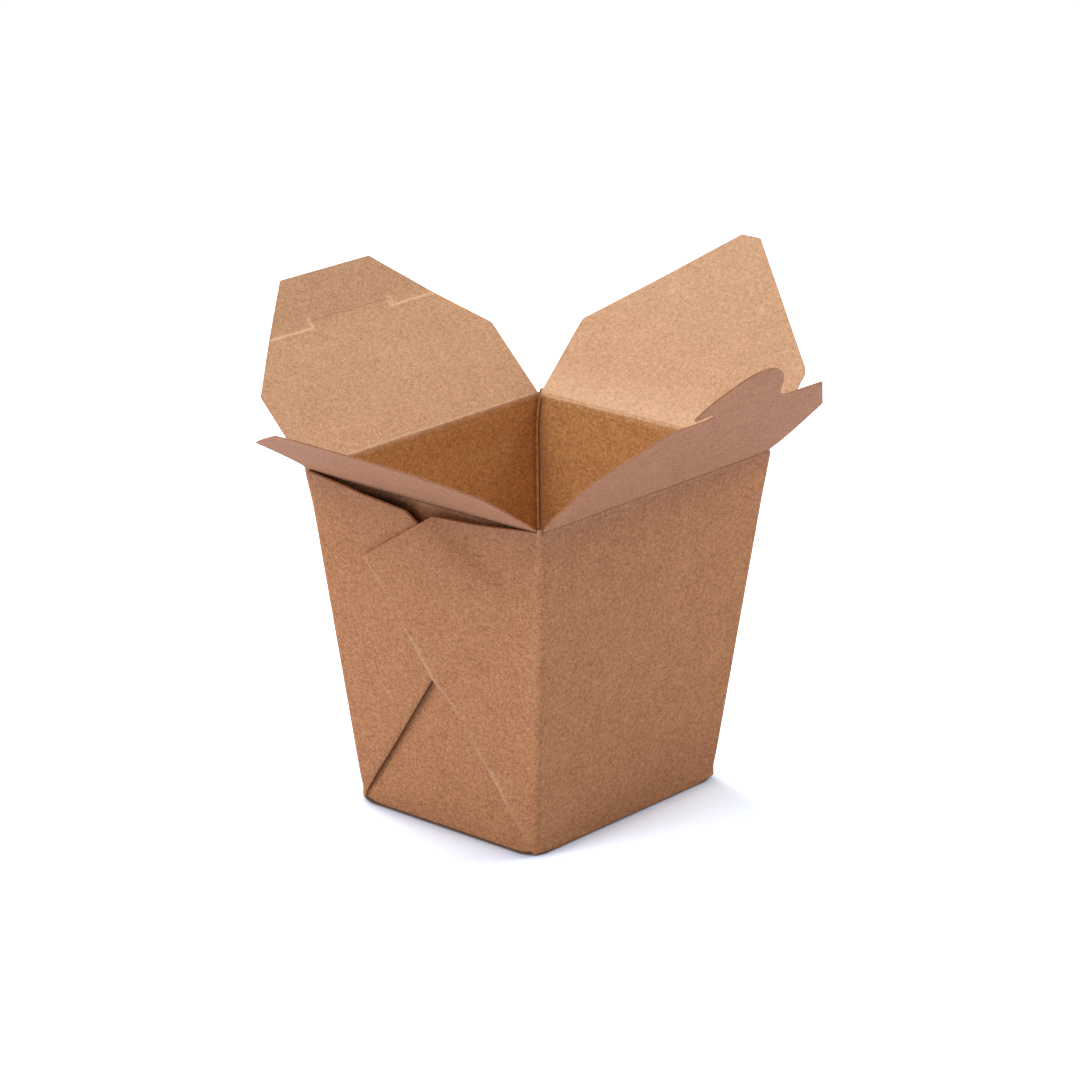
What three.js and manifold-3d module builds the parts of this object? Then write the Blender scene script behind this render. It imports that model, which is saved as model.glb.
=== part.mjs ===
// Noodle takeaway box, open and empty: one die-cut sheet of kraft board folded into a
// tapered tub whose two side walls carry the folded corner webs, with four lid flaps.
// Millimetres, +Z up. The origin is the centre of the base's underside. -Y is the plain
// wall whose flap carries the locking tongue, and +Y the one whose flap has the slit.

import * as THREE from 'three';
import { mergeVertices } from 'three/addons/utils/BufferGeometryUtils.js';
import Module from 'manifold-3d';

const wasm = await Module();
wasm.setup();

// ---------------------------------------------------------------- driving dimensions
const BOARD = 0.45;                       // thickness of the kraft board
const HEIGHT = 102;                       // crease of the front and back flaps
const RIM = { x: 101.6, y: 88.6 };        // over the creased corners, at the flap creases
const BASE = { x: 80.5, y: 66.0 };        // over the creased corners, at the base
const WEB_BUILD = 2 * BOARD;              // a folded web is two boards thick

const SIDE_CREASE_DROP = 0.6;             // the side flaps crease lower, so they tuck under
const CREASE_REACH = 0.9;                 // a wall's top edge lies this far below its crease
const CREASE_CLEAR = 0.15;                // crease axis to the wall's and flap's outer faces
const FLAP_ROOT = { plain: 0.1, side: 1 };  // a flap's board starts this far from its crease
const CUT_GAP = 0.3;                      // across the slit and the tip's score
const SHOULDER_RADIUS = 2;

// Angles of the open flaps, in degrees above the outward horizontal.
const OPEN_ANGLE = { front: 45, back: 44.5, left: 29.5, right: 45 };
const TIP_BEND = 4.5;                     // the back flap's tip leans towards its inner face

// At the crease, the shoulder and the flat end: [half width, reach from the crease axis].
const FRONT_FLAP = { root: [50, FLAP_ROOT.plain], shoulder: [50, 25.8], end: [33, 44.1] };
const BACK_FLAP = { root: [49.9, FLAP_ROOT.plain], shoulder: [50, 26.3], end: [18.7, 58.5] };
const SIDE_FLAP = { root: [43.2, FLAP_ROOT.side], shoulder: [42.9, 27.7], end: [3.5, 66.1] };

const TIP_SCORE = 41;                     // reach of the score that the back tip folds on
const SLIT = { halfWidth: 17.2, reach: 43.5 };

// A web's outline in its wall's plane: s along the rim from the web's own corner, t down.
const WEB_START = [0.6, 1.3];
const WEB_TIP = [41.1, 4.2];
const WEB_HEEL = [67.1, 21.2];

const KRAFT = { front: 0xa87350, web: 0xad7d5d, inside: 0xdcae86, shaded: 0xac826e };

// ---------------------------------------------------------------- solids
function kraft(color) {
  return new THREE.MeshStandardMaterial({ color, roughness: 0.85, metalness: 0 });
}

function toSolid(geometry) {
  const bare = geometry.clone();
  bare.deleteAttribute('normal');
  bare.deleteAttribute('uv');
  const merged = mergeVertices(bare, 1e-4);
  const vertProperties = new Float32Array(merged.attributes.position.array);
  const triVerts = new Uint32Array(merged.index.array);
  return new wasm.Manifold(new wasm.Mesh({ numProp: 3, vertProperties, triVerts }));
}

function toGeometry(solid) {
  const mesh = solid.getMesh();
  const geometry = new THREE.BufferGeometry();
  geometry.setAttribute('position', new THREE.BufferAttribute(mesh.vertProperties, 3));
  geometry.setIndex(new THREE.BufferAttribute(mesh.triVerts, 1));
  geometry.computeVertexNormals();
  return geometry;
}

// A block with a rectangular foot at z0 and a rectangular top at z1; half sizes.
function taperedBlock(footHalf, topHalf, z0, z1) {
  const geometry = new THREE.BoxGeometry(2, 2, 2);
  const position = geometry.attributes.position;
  for (let i = 0; i < position.count; i += 1) {
    const isTop = position.getZ(i) > 0;
    const half = isTop ? topHalf : footHalf;
    const x = position.getX(i) * half.x;
    const y = position.getY(i) * half.y;
    position.setXYZ(i, x, y, isTop ? z1 : z0);
  }
  return geometry;
}

// ---------------------------------------------------------------- the tub
// Half sizes over the creased corners at a height, where the webs' outer faces end.
function cornerHalf(z) {
  const share = z / HEIGHT;
  return {
    x: THREE.MathUtils.lerp(BASE.x, RIM.x, share) / 2,
    y: THREE.MathUtils.lerp(BASE.y, RIM.y, share) / 2,
  };
}

// The walls' outer faces: each side wall lies inside its own webs.
function wallHalf(z) {
  const corner = cornerHalf(z);
  return { x: corner.x - WEB_BUILD, y: corner.y };
}

function insideHalf(z) {
  const wall = wallHalf(z);
  const leanX = Math.hypot(1, (RIM.x - BASE.x) / 2 / HEIGHT);
  const leanY = Math.hypot(1, (RIM.y - BASE.y) / 2 / HEIGHT);
  return { x: wall.x - BOARD * leanX, y: wall.y - BOARD * leanY };
}

// The plane of a side wall: origin at a rim corner, s along the rim, t down the wall.
function sideWallFrame(side) {
  const out = side === 'left' ? -1 : 1;
  const rim = wallHalf(HEIGHT);
  const foot = wallHalf(0);
  const origin = new THREE.Vector3(out * rim.x, out * rim.y, HEIGHT);
  const along = new THREE.Vector3(0, -out, 0);
  const down = new THREE.Vector3(out * (foot.x - rim.x), 0, -HEIGHT);
  const slant = down.length();
  down.normalize();
  const normal = new THREE.Vector3().crossVectors(along, down);
  const matrix = new THREE.Matrix4().makeBasis(along, down, normal).setPosition(origin);
  return { side, matrix, slant, width: 2 * rim.y };
}

// A prism standing on the side wall, between two distances from its outer face.
function wallPrism(frame, outline, inner, outer) {
  const shape = new THREE.Shape(outline.map(([s, t]) => new THREE.Vector2(s, t)));
  const prism = new THREE.ExtrudeGeometry(shape, { depth: outer - inner, bevelEnabled: false });
  prism.translate(0, 0, inner);
  return toSolid(prism.applyMatrix4(frame.matrix));
}

// The web folded round from the front or the back wall. Its outline runs past the corner
// crease, where the front and back walls' own faces bound it.
function webPrism(frame, from, inner, outer) {
  const pastCorner = -2;
  const footInset = (RIM.y - BASE.y) / 2;
  const foot = [footInset, frame.slant];
  const outline = [WEB_START, WEB_TIP, WEB_HEEL, foot, [pastCorner, frame.slant]];
  outline.push([pastCorner, WEB_START[1]]);
  const isFirst = (from === 'front') === (frame.side === 'left');
  const placed = outline.map(([s, t]) => [isFirst ? s : frame.width - s, t]);
  return wallPrism(frame, placed, inner, outer);
}

// What the two webs leave bare of the side wall, up to beyond their outer faces.
function bareWall(frame) {
  const beyond = 2 * WEB_BUILD;
  const left = BOARD;
  const right = frame.width - BOARD;
  const top = -CREASE_REACH;
  const bottom = frame.slant + 1;
  const all = wallPrism(frame, [[left, top], [right, top], [right, bottom], [left, bottom]], 0, beyond);
  const webs = ['front', 'back'].map((from) => webPrism(frame, from, -BOARD, beyond + BOARD));
  return all.subtract(webs[0]).subtract(webs[1]);
}

// Where they meet, the front wall's web lies over the back wall's.
function webLap(frame) {
  const [over, under] = ['front', 'back'].map((from) => {
    return webPrism(frame, from, -BOARD / 2, 2 * WEB_BUILD);
  });
  return over.intersect(under);
}

function tub() {
  const wallTop = HEIGHT - CREASE_REACH;
  const sideWallTop = wallTop - SIDE_CREASE_DROP;
  const above = HEIGHT + 1;
  const outside = toSolid(taperedBlock(cornerHalf(0), cornerHalf(wallTop), 0, wallTop));
  const inside = toSolid(taperedBlock(insideHalf(BOARD), insideHalf(above), BOARD, above));
  const cutHalf = { x: RIM.x, y: insideHalf(sideWallTop).y };
  const sideCut = toSolid(taperedBlock(cutHalf, cutHalf, sideWallTop, above));
  let solid = outside.subtract(inside).subtract(sideCut);
  for (const side of ['left', 'right']) {
    const frame = sideWallFrame(side);
    solid = solid.subtract(bareWall(frame)).add(webLap(frame));
  }
  return new THREE.Mesh(toGeometry(solid), kraft(KRAFT.web));
}

// ---------------------------------------------------------------- flaps
// A flap is drawn with x along its crease and y away from it, about its middle.
function cornerArc(shape, corner, next) {
  const from = shape.currentPoint;
  const here = new THREE.Vector2(...corner);
  const start = here.clone().add(from.clone().sub(here).setLength(SHOULDER_RADIUS));
  const end = here.clone().add(new THREE.Vector2(...next).sub(here).setLength(SHOULDER_RADIUS));
  shape.lineTo(start.x, start.y);
  shape.quadraticCurveTo(here.x, here.y, end.x, end.y);
}

function mirrored([x, y]) {
  return [-x, y];
}

// Crease, right edge, rounded right shoulder and sloped edge, up to the flat end.
function rightHalf(flap) {
  const shape = new THREE.Shape();
  shape.moveTo(...mirrored(flap.root));
  shape.lineTo(...flap.root);
  cornerArc(shape, flap.shoulder, flap.end);
  return shape;
}

function closeLeftHalf(shape, flap) {
  cornerArc(shape, mirrored(flap.shoulder), mirrored(flap.root));
  shape.closePath();
  return shape;
}

function sideFlapShape() {
  const shape = rightHalf(SIDE_FLAP);
  shape.lineTo(...SIDE_FLAP.end);
  shape.lineTo(...mirrored(SIDE_FLAP.end));
  return closeLeftHalf(shape, SIDE_FLAP);
}

// The tongue rises from a wide hollow on one side and ends in a hook over a narrow slot on
// the other, so it slides into the slit and catches. x runs towards the box's left here.
function frontFlapShape() {
  const [endHalf, edge] = FRONT_FLAP.end;
  const shape = rightHalf(FRONT_FLAP);
  shape.lineTo(endHalf, edge);
  shape.lineTo(20.5, edge + 0.2);
  shape.bezierCurveTo(18.5, edge + 0.5, 16.9, 45.2, 17.0, 46.2);
  shape.bezierCurveTo(17.3, 47.6, 20, 47.8, 23.6, 46.9);
  shape.bezierCurveTo(25.6, 46.4, 27.0, 47.2, 27.0, 48.8);
  shape.bezierCurveTo(27.4, 53.5, 26.6, 57.0, 24.4, 61.0);
  shape.bezierCurveTo(21.9, 66.6, 19.4, 68.5, 15.6, 68.7);
  shape.bezierCurveTo(9.5, 68.9, 2.8, 63.4, -2.4, 57.9);
  shape.bezierCurveTo(-7.6, 51.6, -10.6, 44.6, -17.6, edge);
  shape.lineTo(-endHalf, edge);
  return closeLeftHalf(shape, FRONT_FLAP);
}

// Half width of the back flap where its sloped edge is at a given reach.
function backSlopeHalf(reach) {
  const [shoulderHalf, shoulderReach] = BACK_FLAP.shoulder;
  const [endHalf, endReach] = BACK_FLAP.end;
  const share = (reach - shoulderReach) / (endReach - shoulderReach);
  return THREE.MathUtils.lerp(shoulderHalf, endHalf, share);
}

// Up to the score, with the tab between the score and the slit.
function backFlapShape() {
  const scoreSide = TIP_SCORE - CUT_GAP / 2;
  const scoreHalf = backSlopeHalf(scoreSide);
  const tabHalf = SLIT.halfWidth - CUT_GAP / 2;
  const tabEnd = SLIT.reach - CUT_GAP / 2;
  const shape = rightHalf(BACK_FLAP);
  shape.lineTo(scoreHalf, scoreSide);
  shape.lineTo(tabHalf, scoreSide);
  shape.lineTo(tabHalf, tabEnd);
  shape.lineTo(-tabHalf, tabEnd);
  shape.lineTo(-tabHalf, scoreSide);
  shape.lineTo(-scoreHalf, scoreSide);
  return closeLeftHalf(shape, BACK_FLAP);
}

// Beyond the score and round the tab, drawn from the score.
function backTipShape() {
  const start = TIP_SCORE + CUT_GAP / 2;
  const startHalf = backSlopeHalf(start);
  const slotHalf = SLIT.halfWidth + CUT_GAP / 2;
  const slotEnd = SLIT.reach + CUT_GAP / 2;
  const right = [[slotHalf, slotEnd], [slotHalf, start], [startHalf, start], BACK_FLAP.end];
  const left = right.map(mirrored).reverse();
  const points = [...right, ...left].map(([x, y]) => new THREE.Vector2(x, y - TIP_SCORE));
  return new THREE.Shape(points);
}

// The board's inner face looks to +z, so a flap at angle 0 lies flat with its inside up.
function boardMesh(name, shape, outerFace, color) {
  const geometry = new THREE.ExtrudeGeometry(shape, {
    depth: BOARD,
    bevelEnabled: false,
    curveSegments: 6,
  });
  geometry.translate(0, 0, outerFace);
  const mesh = new THREE.Mesh(toGeometry(toSolid(geometry)), kraft(color));
  mesh.name = name;
  return mesh;
}

// A group on the crease axis: y leads away from the tub, raised by the opening angle.
function hingedGroup(side) {
  const turn = { back: 0, left: 90, front: 180, right: -90 }[side];
  const isSideWall = side === 'left' || side === 'right';
  const rim = wallHalf(HEIGHT);
  const reach = (isSideWall ? rim.x : rim.y) + CREASE_CLEAR;
  const azimuth = THREE.MathUtils.degToRad(turn);
  const group = new THREE.Group();
  group.position.set(-Math.sin(azimuth) * reach, Math.cos(azimuth) * reach, HEIGHT);
  if (isSideWall) group.position.z -= SIDE_CREASE_DROP;
  group.rotation.set(THREE.MathUtils.degToRad(OPEN_ANGLE[side]), 0, azimuth, 'ZXY');
  return group;
}

function flap(side, shape, color) {
  const group = hingedGroup(side);
  group.add(boardMesh(`flap_${side}`, shape, CREASE_CLEAR, color));
  return group;
}

// The back flap's tip turns about its score, on the board's inner face.
function backFlap() {
  const group = flap('back', backFlapShape(), KRAFT.inside);
  const score = new THREE.Group();
  score.position.set(0, TIP_SCORE, CREASE_CLEAR + BOARD);
  score.rotation.x = THREE.MathUtils.degToRad(TIP_BEND);
  score.add(boardMesh('flap_back_tip', backTipShape(), -BOARD, KRAFT.inside));
  group.add(score);
  return group;
}

const box = new THREE.Group();
const tubMesh = tub();
tubMesh.name = 'tub';
box.add(tubMesh);
box.add(flap('front', frontFlapShape(), KRAFT.shaded));
box.add(backFlap());
box.add(flap('left', sideFlapShape(), KRAFT.shaded));
box.add(flap('right', sideFlapShape(), KRAFT.inside));

export default box;
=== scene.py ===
"""Noodle takeaway box, open and empty: a tapered tub folded from one sheet of kraft board,
with folded webs on its two side walls and four lid flaps.

Lengths are in millimetres until a mesh is made. Each board is a closed sheet of its real
thickness, made by bending a flat outline over a middle surface."""

import math

import bpy
import numpy as np
from mathutils import Matrix, Vector
from mathutils.geometry import delaunay_2d_cdt


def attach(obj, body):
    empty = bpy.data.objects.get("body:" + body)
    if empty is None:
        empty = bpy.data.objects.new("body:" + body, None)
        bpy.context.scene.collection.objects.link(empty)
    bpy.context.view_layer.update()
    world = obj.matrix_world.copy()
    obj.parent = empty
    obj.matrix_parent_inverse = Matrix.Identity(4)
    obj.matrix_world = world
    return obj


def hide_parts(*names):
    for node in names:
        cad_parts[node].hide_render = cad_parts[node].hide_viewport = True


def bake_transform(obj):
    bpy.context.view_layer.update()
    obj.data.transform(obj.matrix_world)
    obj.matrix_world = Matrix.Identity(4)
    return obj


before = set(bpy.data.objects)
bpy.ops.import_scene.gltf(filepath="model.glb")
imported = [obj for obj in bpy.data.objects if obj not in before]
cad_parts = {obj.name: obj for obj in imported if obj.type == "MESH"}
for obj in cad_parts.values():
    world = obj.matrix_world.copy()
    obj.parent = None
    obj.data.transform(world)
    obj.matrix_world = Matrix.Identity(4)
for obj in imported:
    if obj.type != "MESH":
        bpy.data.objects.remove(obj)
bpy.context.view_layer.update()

# ---- dimensions, mm
MM = 0.001
BOARD = 0.45  # thickness of the kraft board
HALF = BOARD / 2
HEIGHT = 102.0  # crease of the front and back flaps
RIM = np.array([50.8, 44.3])  # half sizes over the creased corners, at the creases
BASE = np.array([40.25, 33.0])  # the same at the base
LEAN = (RIM - BASE) / HEIGHT
WEB = 2 * BOARD  # a folded web is two boards thick
INSIDE = BOARD * np.hypot(1, LEAN)  # a wall's thickness, measured level

CREASE_CLEAR = 0.15  # crease axis to the outer faces of wall and flap
SIDE_CREASE_DROP = 0.6
SIDE_CREASE_HEIGHT = HEIGHT - SIDE_CREASE_DROP
SIDE_CREASE = RIM[0] - WEB + CREASE_CLEAR  # x of the side creases' axes
END_CREASE = RIM[1] + CREASE_CLEAR  # y of the front and back creases' axes
SEAM_BELOW = 1.8  # a flap's board starts this far below its crease
CORNER_RADIUS = 1.9
TIGHT_RADIUS = 0.8  # corner radius up at the rim
SEAM_PAST_ARC = 0.3  # a web's board starts this far past its corner's bend
CORNER_RUN = 5.0  # length of wall that belongs to a corner's own profile

# A web's outline in its wall's plane: along the rim from the web's own corner, then down.
WEB_TIP = {-1: (38.7, 2.8), 1: (39.6, 3.3)}  # by the web's end: front, back
WEB_HEEL = (67.1, 21.2)

BACK_HALF = 50.0  # half width of the back flap
SHOULDER = 26.3  # reach of its shoulders, where it starts to narrow
BACK_TAPER = 31.3 / 32.2
TIP_BEND = 4.5  # degrees
TIP_SCORE = 41.0  # reach of the score that the back flap's tip folds on
TIP_SEAM = TIP_SCORE - 0.9  # where the tip's board starts
TIP_END = 58.25
TIP_BLEND = 0.8  # half the length of board that bends at the score
SLIT_HALF = 17.2
SLIT_REACH = 43.5
CUT_GAP = 0.06

# Depths in the kraft pattern, so that no wall, face or layer repeats another's.
LEVEL_STEP = 100.0
LEVEL = {wall: k * LEVEL_STEP for k, wall in enumerate(("front", "back", "left", "right", "base"))}
FACE_GAP = 6.0  # from a board's middle to its face
LAYER_GAP = 30.0  # to a web's inner layer


# ---- small helpers
def smoothstep(low, high, x):
    t = np.clip((np.asarray(x, float) - low) / (high - low), 0, 1)
    return t * t * (3 - 2 * t)


def bump(x, width):
    return np.exp(-((np.asarray(x, float) / width) ** 2))


def unit(v):
    v = np.asarray(v, float)
    return v / np.linalg.norm(v, axis=-1, keepdims=True)


def corner_at(z):
    """Half sizes over the creased corners at a height, before any bulge."""
    return BASE + LEAN * np.asarray(z, float)[..., None]


def corner_radius(z):
    z = np.asarray(z, float)
    high = TIGHT_RADIUS + (CORNER_RADIUS - TIGHT_RADIUS) * smoothstep(100, 88, z)
    return np.minimum(high, 0.1 + 0.5 * z)


def seam_past_corner(z):
    """How far past the sharp corner a web's own board starts."""
    z = np.asarray(z, float)
    return np.minimum(corner_radius(z) + SEAM_PAST_ARC, 0.15 + 0.55 * z)


# ---- flat outlines
def rounded_loop(corners, step):
    """A closed loop of points from (x, y, radius) corners, with no gap over step."""
    pts = np.array([c[:2] for c in corners], float)
    loop = []
    for i, here in enumerate(pts):
        before, after = pts[i - 1], pts[(i + 1) % len(pts)]
        radius = corners[i][2]
        a, b = unit(before - here), unit(after - here)
        angle = math.acos(float(np.clip(a @ b, -1, 1)))
        if radius <= 0 or angle > math.radians(178):
            loop.append(here)
            continue
        reach = radius / math.tan(angle / 2)
        centre = here + unit(a + b) * radius / math.sin(angle / 2)
        start, end = here + a * reach - centre, here + b * reach - centre
        sweep = math.pi - angle
        turn = math.copysign(1, start[0] * end[1] - start[1] * end[0])
        count = max(3, math.ceil(sweep * radius / min(step, 0.5)))
        for k in range(count + 1):
            at = turn * sweep * k / count
            c, s = math.cos(at), math.sin(at)
            spoke = (start[0] * c - start[1] * s, start[0] * s + start[1] * c)
            loop.append(centre + spoke)
    return resampled(np.array(loop), step)


def resampled(loop, step):
    out = []
    for a, b in zip(loop, np.roll(loop, -1, 0)):
        length = np.linalg.norm(b - a)
        if length >= 1e-6:
            count = max(1, math.ceil(length / step))
            out += [a + (b - a) * k / count for k in range(count)]
    return np.array(out)


def cubic(t, a, b, c, d):
    """Points on a Bezier curve."""
    u = 1 - t
    return u**3 * a + 3 * u**2 * t * b + 3 * u * t**2 * c + t**3 * d


def edge_distance(points, loop):
    """Distance from each point to the loop."""
    a, b = loop, np.roll(loop, -1, 0)
    d = b - a
    best = np.full(len(points), 1e9)
    for i in range(0, len(points), 2000):
        p = points[i : i + 2000, None]
        t = ((p - a) * d).sum(-1) / np.maximum((d * d).sum(-1), 1e-12)
        near = a + d * np.clip(t, 0, 1)[..., None]
        best[i : i + 2000] = np.linalg.norm(p - near, axis=-1).min(1)
    return best


def is_inside(points, loop):
    a, b = loop, np.roll(loop, -1, 0)
    x, y = points[:, :1], points[:, 1:]
    crosses = (a[:, 1] > y) != (b[:, 1] > y)
    slope = (b[:, 0] - a[:, 0]) / np.where(b[:, 1] == a[:, 1], 1, b[:, 1] - a[:, 1])
    return ((crosses & (x < a[:, 0] + (y - a[:, 1]) * slope)).sum(1) % 2) == 1


def signed_inside(points, loop):
    """Distance to the loop, positive inside it."""
    return edge_distance(points, loop) * np.where(is_inside(points, loop), 1, -1)


def triangulated(loop, spacing, rows=()):
    """Points and triangles filling a loop; the loop comes first. rows are extra levels of
    y, for a crease."""
    low, high = loop.min(0), loop.max(0)
    levels = []
    for k, y in enumerate(np.arange(low[1], high[1], spacing * 0.87)):
        if min((abs(y - row) for row in rows), default=spacing) >= spacing / 2:
            levels.append((y, low[0] + (k % 2) * spacing / 2))
    levels += [(row, low[0]) for row in rows]
    grid = []
    for y, start in levels:
        x = np.arange(start, high[0], spacing)
        grid.append(np.stack([x, np.full_like(x, y)], 1))
    grid = np.concatenate(grid)
    grid = grid[signed_inside(grid, loop) > 0.3 * spacing]
    points = np.concatenate([loop, grid])
    count = len(loop)
    edges = [(i, (i + 1) % count) for i in range(count)]
    found = delaunay_2d_cdt([Vector(p) for p in points], edges, [], 1, 1e-5)
    points = np.array([tuple(v) for v in found[0]])
    tris = np.array([f for f in found[2] if len(f) == 3])
    p = points[tris]
    ab, ac = p[:, 1] - p[:, 0], p[:, 2] - p[:, 0]
    area = ab[:, 0] * ac[:, 1] - ab[:, 1] * ac[:, 0]
    tris[area < 0] = tris[area < 0][:, ::-1]
    return points, tris[np.abs(area) > 1e-9]


def boundary_loops(tris):
    """Loops of vertex numbers round the triangles' open edges."""
    seen = {(a, b) for t in tris.tolist() for a, b in zip(t, t[1:] + t[:1])}
    nexts = {a: b for a, b in seen if (b, a) not in seen}
    loops = []
    while nexts:
        start, b = next(iter(nexts.items()))
        loop = [start]
        del nexts[start]
        while b != start:
            loop.append(b)
            b = nexts.pop(b)
        loops.append(np.array(loop))
    return loops


# ---- boards
class Shell:
    """Gathers the vertices, faces and attributes of one piece."""

    def __init__(self):
        self.verts, self.faces, self.sheet, self.edge, self.crease = [], [], [], [], []
        self.count = 0

    # crease is a tone painted into the colour: pale wear and painted highlight above 0, painted
    # shade below 0, and deeper painted shadow below -1.
    def add(self, verts, sheet, edge=0.0, crease=0.0):
        first = self.count
        self.verts.append(verts)
        self.sheet.append(sheet)
        self.edge.append(np.broadcast_to(edge, len(verts)))
        self.crease.append(np.broadcast_to(crease, len(verts)))
        self.count += len(verts)
        return np.arange(first, self.count)

    def piece(self, name, material):
        mesh = bpy.data.meshes.new(name)
        verts = np.concatenate(self.verts) * MM
        mesh.from_pydata(verts.tolist(), [], [list(map(int, f)) for f in self.faces])
        mesh.validate()
        for key, rows in (("sheet", self.sheet), ("edge", self.edge), ("crease", self.crease)):
            values = np.concatenate(rows).astype(np.float32)
            is_vector = values.ndim == 2
            layer = mesh.attributes.new(key, "FLOAT_VECTOR" if is_vector else "FLOAT", "POINT")
            layer.data.foreach_set("vector" if is_vector else "value", values.ravel())
        mesh.polygons.foreach_set("use_smooth", [True] * len(mesh.polygons))
        mesh.set_sharp_from_angle(angle=math.radians(34))
        mesh.materials.append(material)
        mesh.update()
        obj = bpy.data.objects.new(name, mesh)
        bpy.context.scene.collection.objects.link(obj)
        return obj


CUT, BUTT, FOLD_UP, FOLD_DOWN = 0, 1, 2, 3  # kinds of rim
BEVEL = 0.06


FOLD = [(BOARD * math.sin(a), BOARD * math.cos(a) - HALF) for a in np.radians((30, 60, 90))]
RIM_PROFILES = np.array([  # each kind's rings between the two faces: outward, off the middle
    [(BEVEL * 0.8, HALF - BEVEL), (BEVEL, 0), (BEVEL * 0.8, BEVEL - HALF)],
    [(0, HALF / 2), (0, 0), (0, -HALF / 2)],
    FOLD,
    [(out, -z) for out, z in FOLD[::-1]],
])


def bend_sheet(shell, loop, mid, pattern, kind, relief=None, sign=1, facing=1, spacing=1.8,
               rows=(), fold_tone=0.0, cut_tone=0.0):
    """Adds one board. mid takes flat points to the middle surface, and sign is 1 where x cross y is
    the + face. pattern is where the board lies in the kraft pattern: the place of flat points, and
    the depth. kind gives each edge point's rim. relief gives the extra height of the + face and of
    the - face, then the crease tone of each, which carries pale wear and painted light and shade.
    facing is 1 where the + face is the outer one. fold_tone and cut_tone are the crease tones of
    folded and cut rims."""
    points, tris = triangulated(loop, spacing, rows)
    sheet, depth = pattern

    def normal_at(p, probe=0.02):
        here = mid(p)
        across = mid(p + (probe, 0)) - here
        along = mid(p + (0, probe)) - here
        return unit(np.cross(across, along)) * sign

    def in_pattern(p, off):
        level = np.broadcast_to(depth + facing * off * FACE_GAP / HALF, len(p))
        return np.concatenate([sheet(p), level[:, None]], 1)

    extra_up, extra_down, tone_up, tone_down = relief(points) if relief else (0, 0, 0, 0)
    middle, normal = mid(points), normal_at(points)
    face = {}
    for side, extra, tone in ((1, extra_up, tone_up), (-1, extra_down, tone_down)):
        off = np.broadcast_to(side * (HALF + extra), len(points))
        verts = middle + normal * off[:, None]
        face[side] = shell.add(verts, in_pattern(points, side * HALF), 0.0, tone)
        order = tris if side * sign > 0 else tris[:, ::-1]
        shell.faces += face[side][order].tolist()
    for ring in boundary_loops(tris):
        p, kinds = points[ring], kind(points[ring])
        forward = unit(np.roll(p, -1, 0) - p)
        mean = unit(forward + np.roll(forward, 1, 0))
        outward = np.stack([mean[:, 1], -mean[:, 0]], 1)
        is_cut = kinds == CUT
        tone = (kinds >= FOLD_UP) * fold_tone + is_cut * cut_tone
        rings = [face[1][ring]]
        for out, off in RIM_PROFILES[kinds].transpose(1, 2, 0):
            verts = mid(p + outward * out[:, None]) + normal[ring] * off[:, None]
            rings.append(shell.add(verts, in_pattern(p, off), is_cut, tone))
        rings.append(face[-1][ring])
        for upper, lower in zip(rings, rings[1:]):
            a, b = upper, np.roll(upper, -1)
            c, d = np.roll(lower, -1), lower
            quad = np.stack([b, a, d, c], 1) if sign > 0 else np.stack([a, b, c, d], 1)
            shell.faces += quad.tolist()


# ---- the tub's cup
# The cup is the four walls and the base. A column of its surface stands at
# corner_at(z) * share + offset + corner_radius(z) * round + seam_past_corner(z) * seam.
# In x and y: s is the share, o the offset, r the round's part and q the seam's part. The
# same four give lat, the place along the wall in the kraft pattern.
X_FIELDS, Y_FIELDS = ("sx", "ox", "rx", "qx"), ("sy", "oy", "ry", "qy")
LAT_FIELDS = ("lat", "lat_o", "lat_r", "lat_q")
OTHER_FIELDS = ("top", "wall", "near", "tone", "flare", "push", "swell")
FIELDS = X_FIELDS + Y_FIELDS + LAT_FIELDS + OTHER_FIELDS
LOW_TOP = HEIGHT - SEAM_BELOW  # under the front and back flaps' boards
SIDE_TOP = LOW_TOP - SIDE_CREASE_DROP
CORNER_TOP = {(-1, -1): 103.0, (1, 1): 103.0, (-1, 1): 101.8, (1, -1): 101.3}
STEP_WIDTH = 0.04  # across the step between two tops
WALL_COLUMNS = 34
TOP_ROWS = 5
EVEN_FROM = 95.0  # from here down to EVEN_TO the rows are level
EVEN_TO = 4.0
EVEN_ROWS = 38
ARC_ROWS = 5
FOOT_RADIUS = 0.2
FOOT_RADIUS_AT_CORNER = 1.1
FOOT_REACH = 4.0
WEBS_APART_AT = -10.0  # y of the gap between the webs' tips
BASE_RINGS = (1.2, 3.0, 3.05)  # rings of the base's face, past the bottom edge's arc
EDGE_RISE = 0.04  # the base's edges ride just off the ground, its corners more
EDGE_RISE_AT_CORNER = 0.2
# By a corner's signs in x and y: how far it stands out sideways, and how much more at the rim.
CORNER_PUSH = {(-1, -1): 0.3, (-1, 1): 0.95, (1, -1): 0.8, (1, 1): 0.8}
RIM_FLARE = {(1, 1): 0.5, (-1, 1): 0.55, (-1, -1): 0.3, (1, -1): 0.3}
SWELL = 0.7  # how far the front and back walls stand out past flat
FOOT_SWELL = 0.95  # the same for the side walls, at their foot


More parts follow.
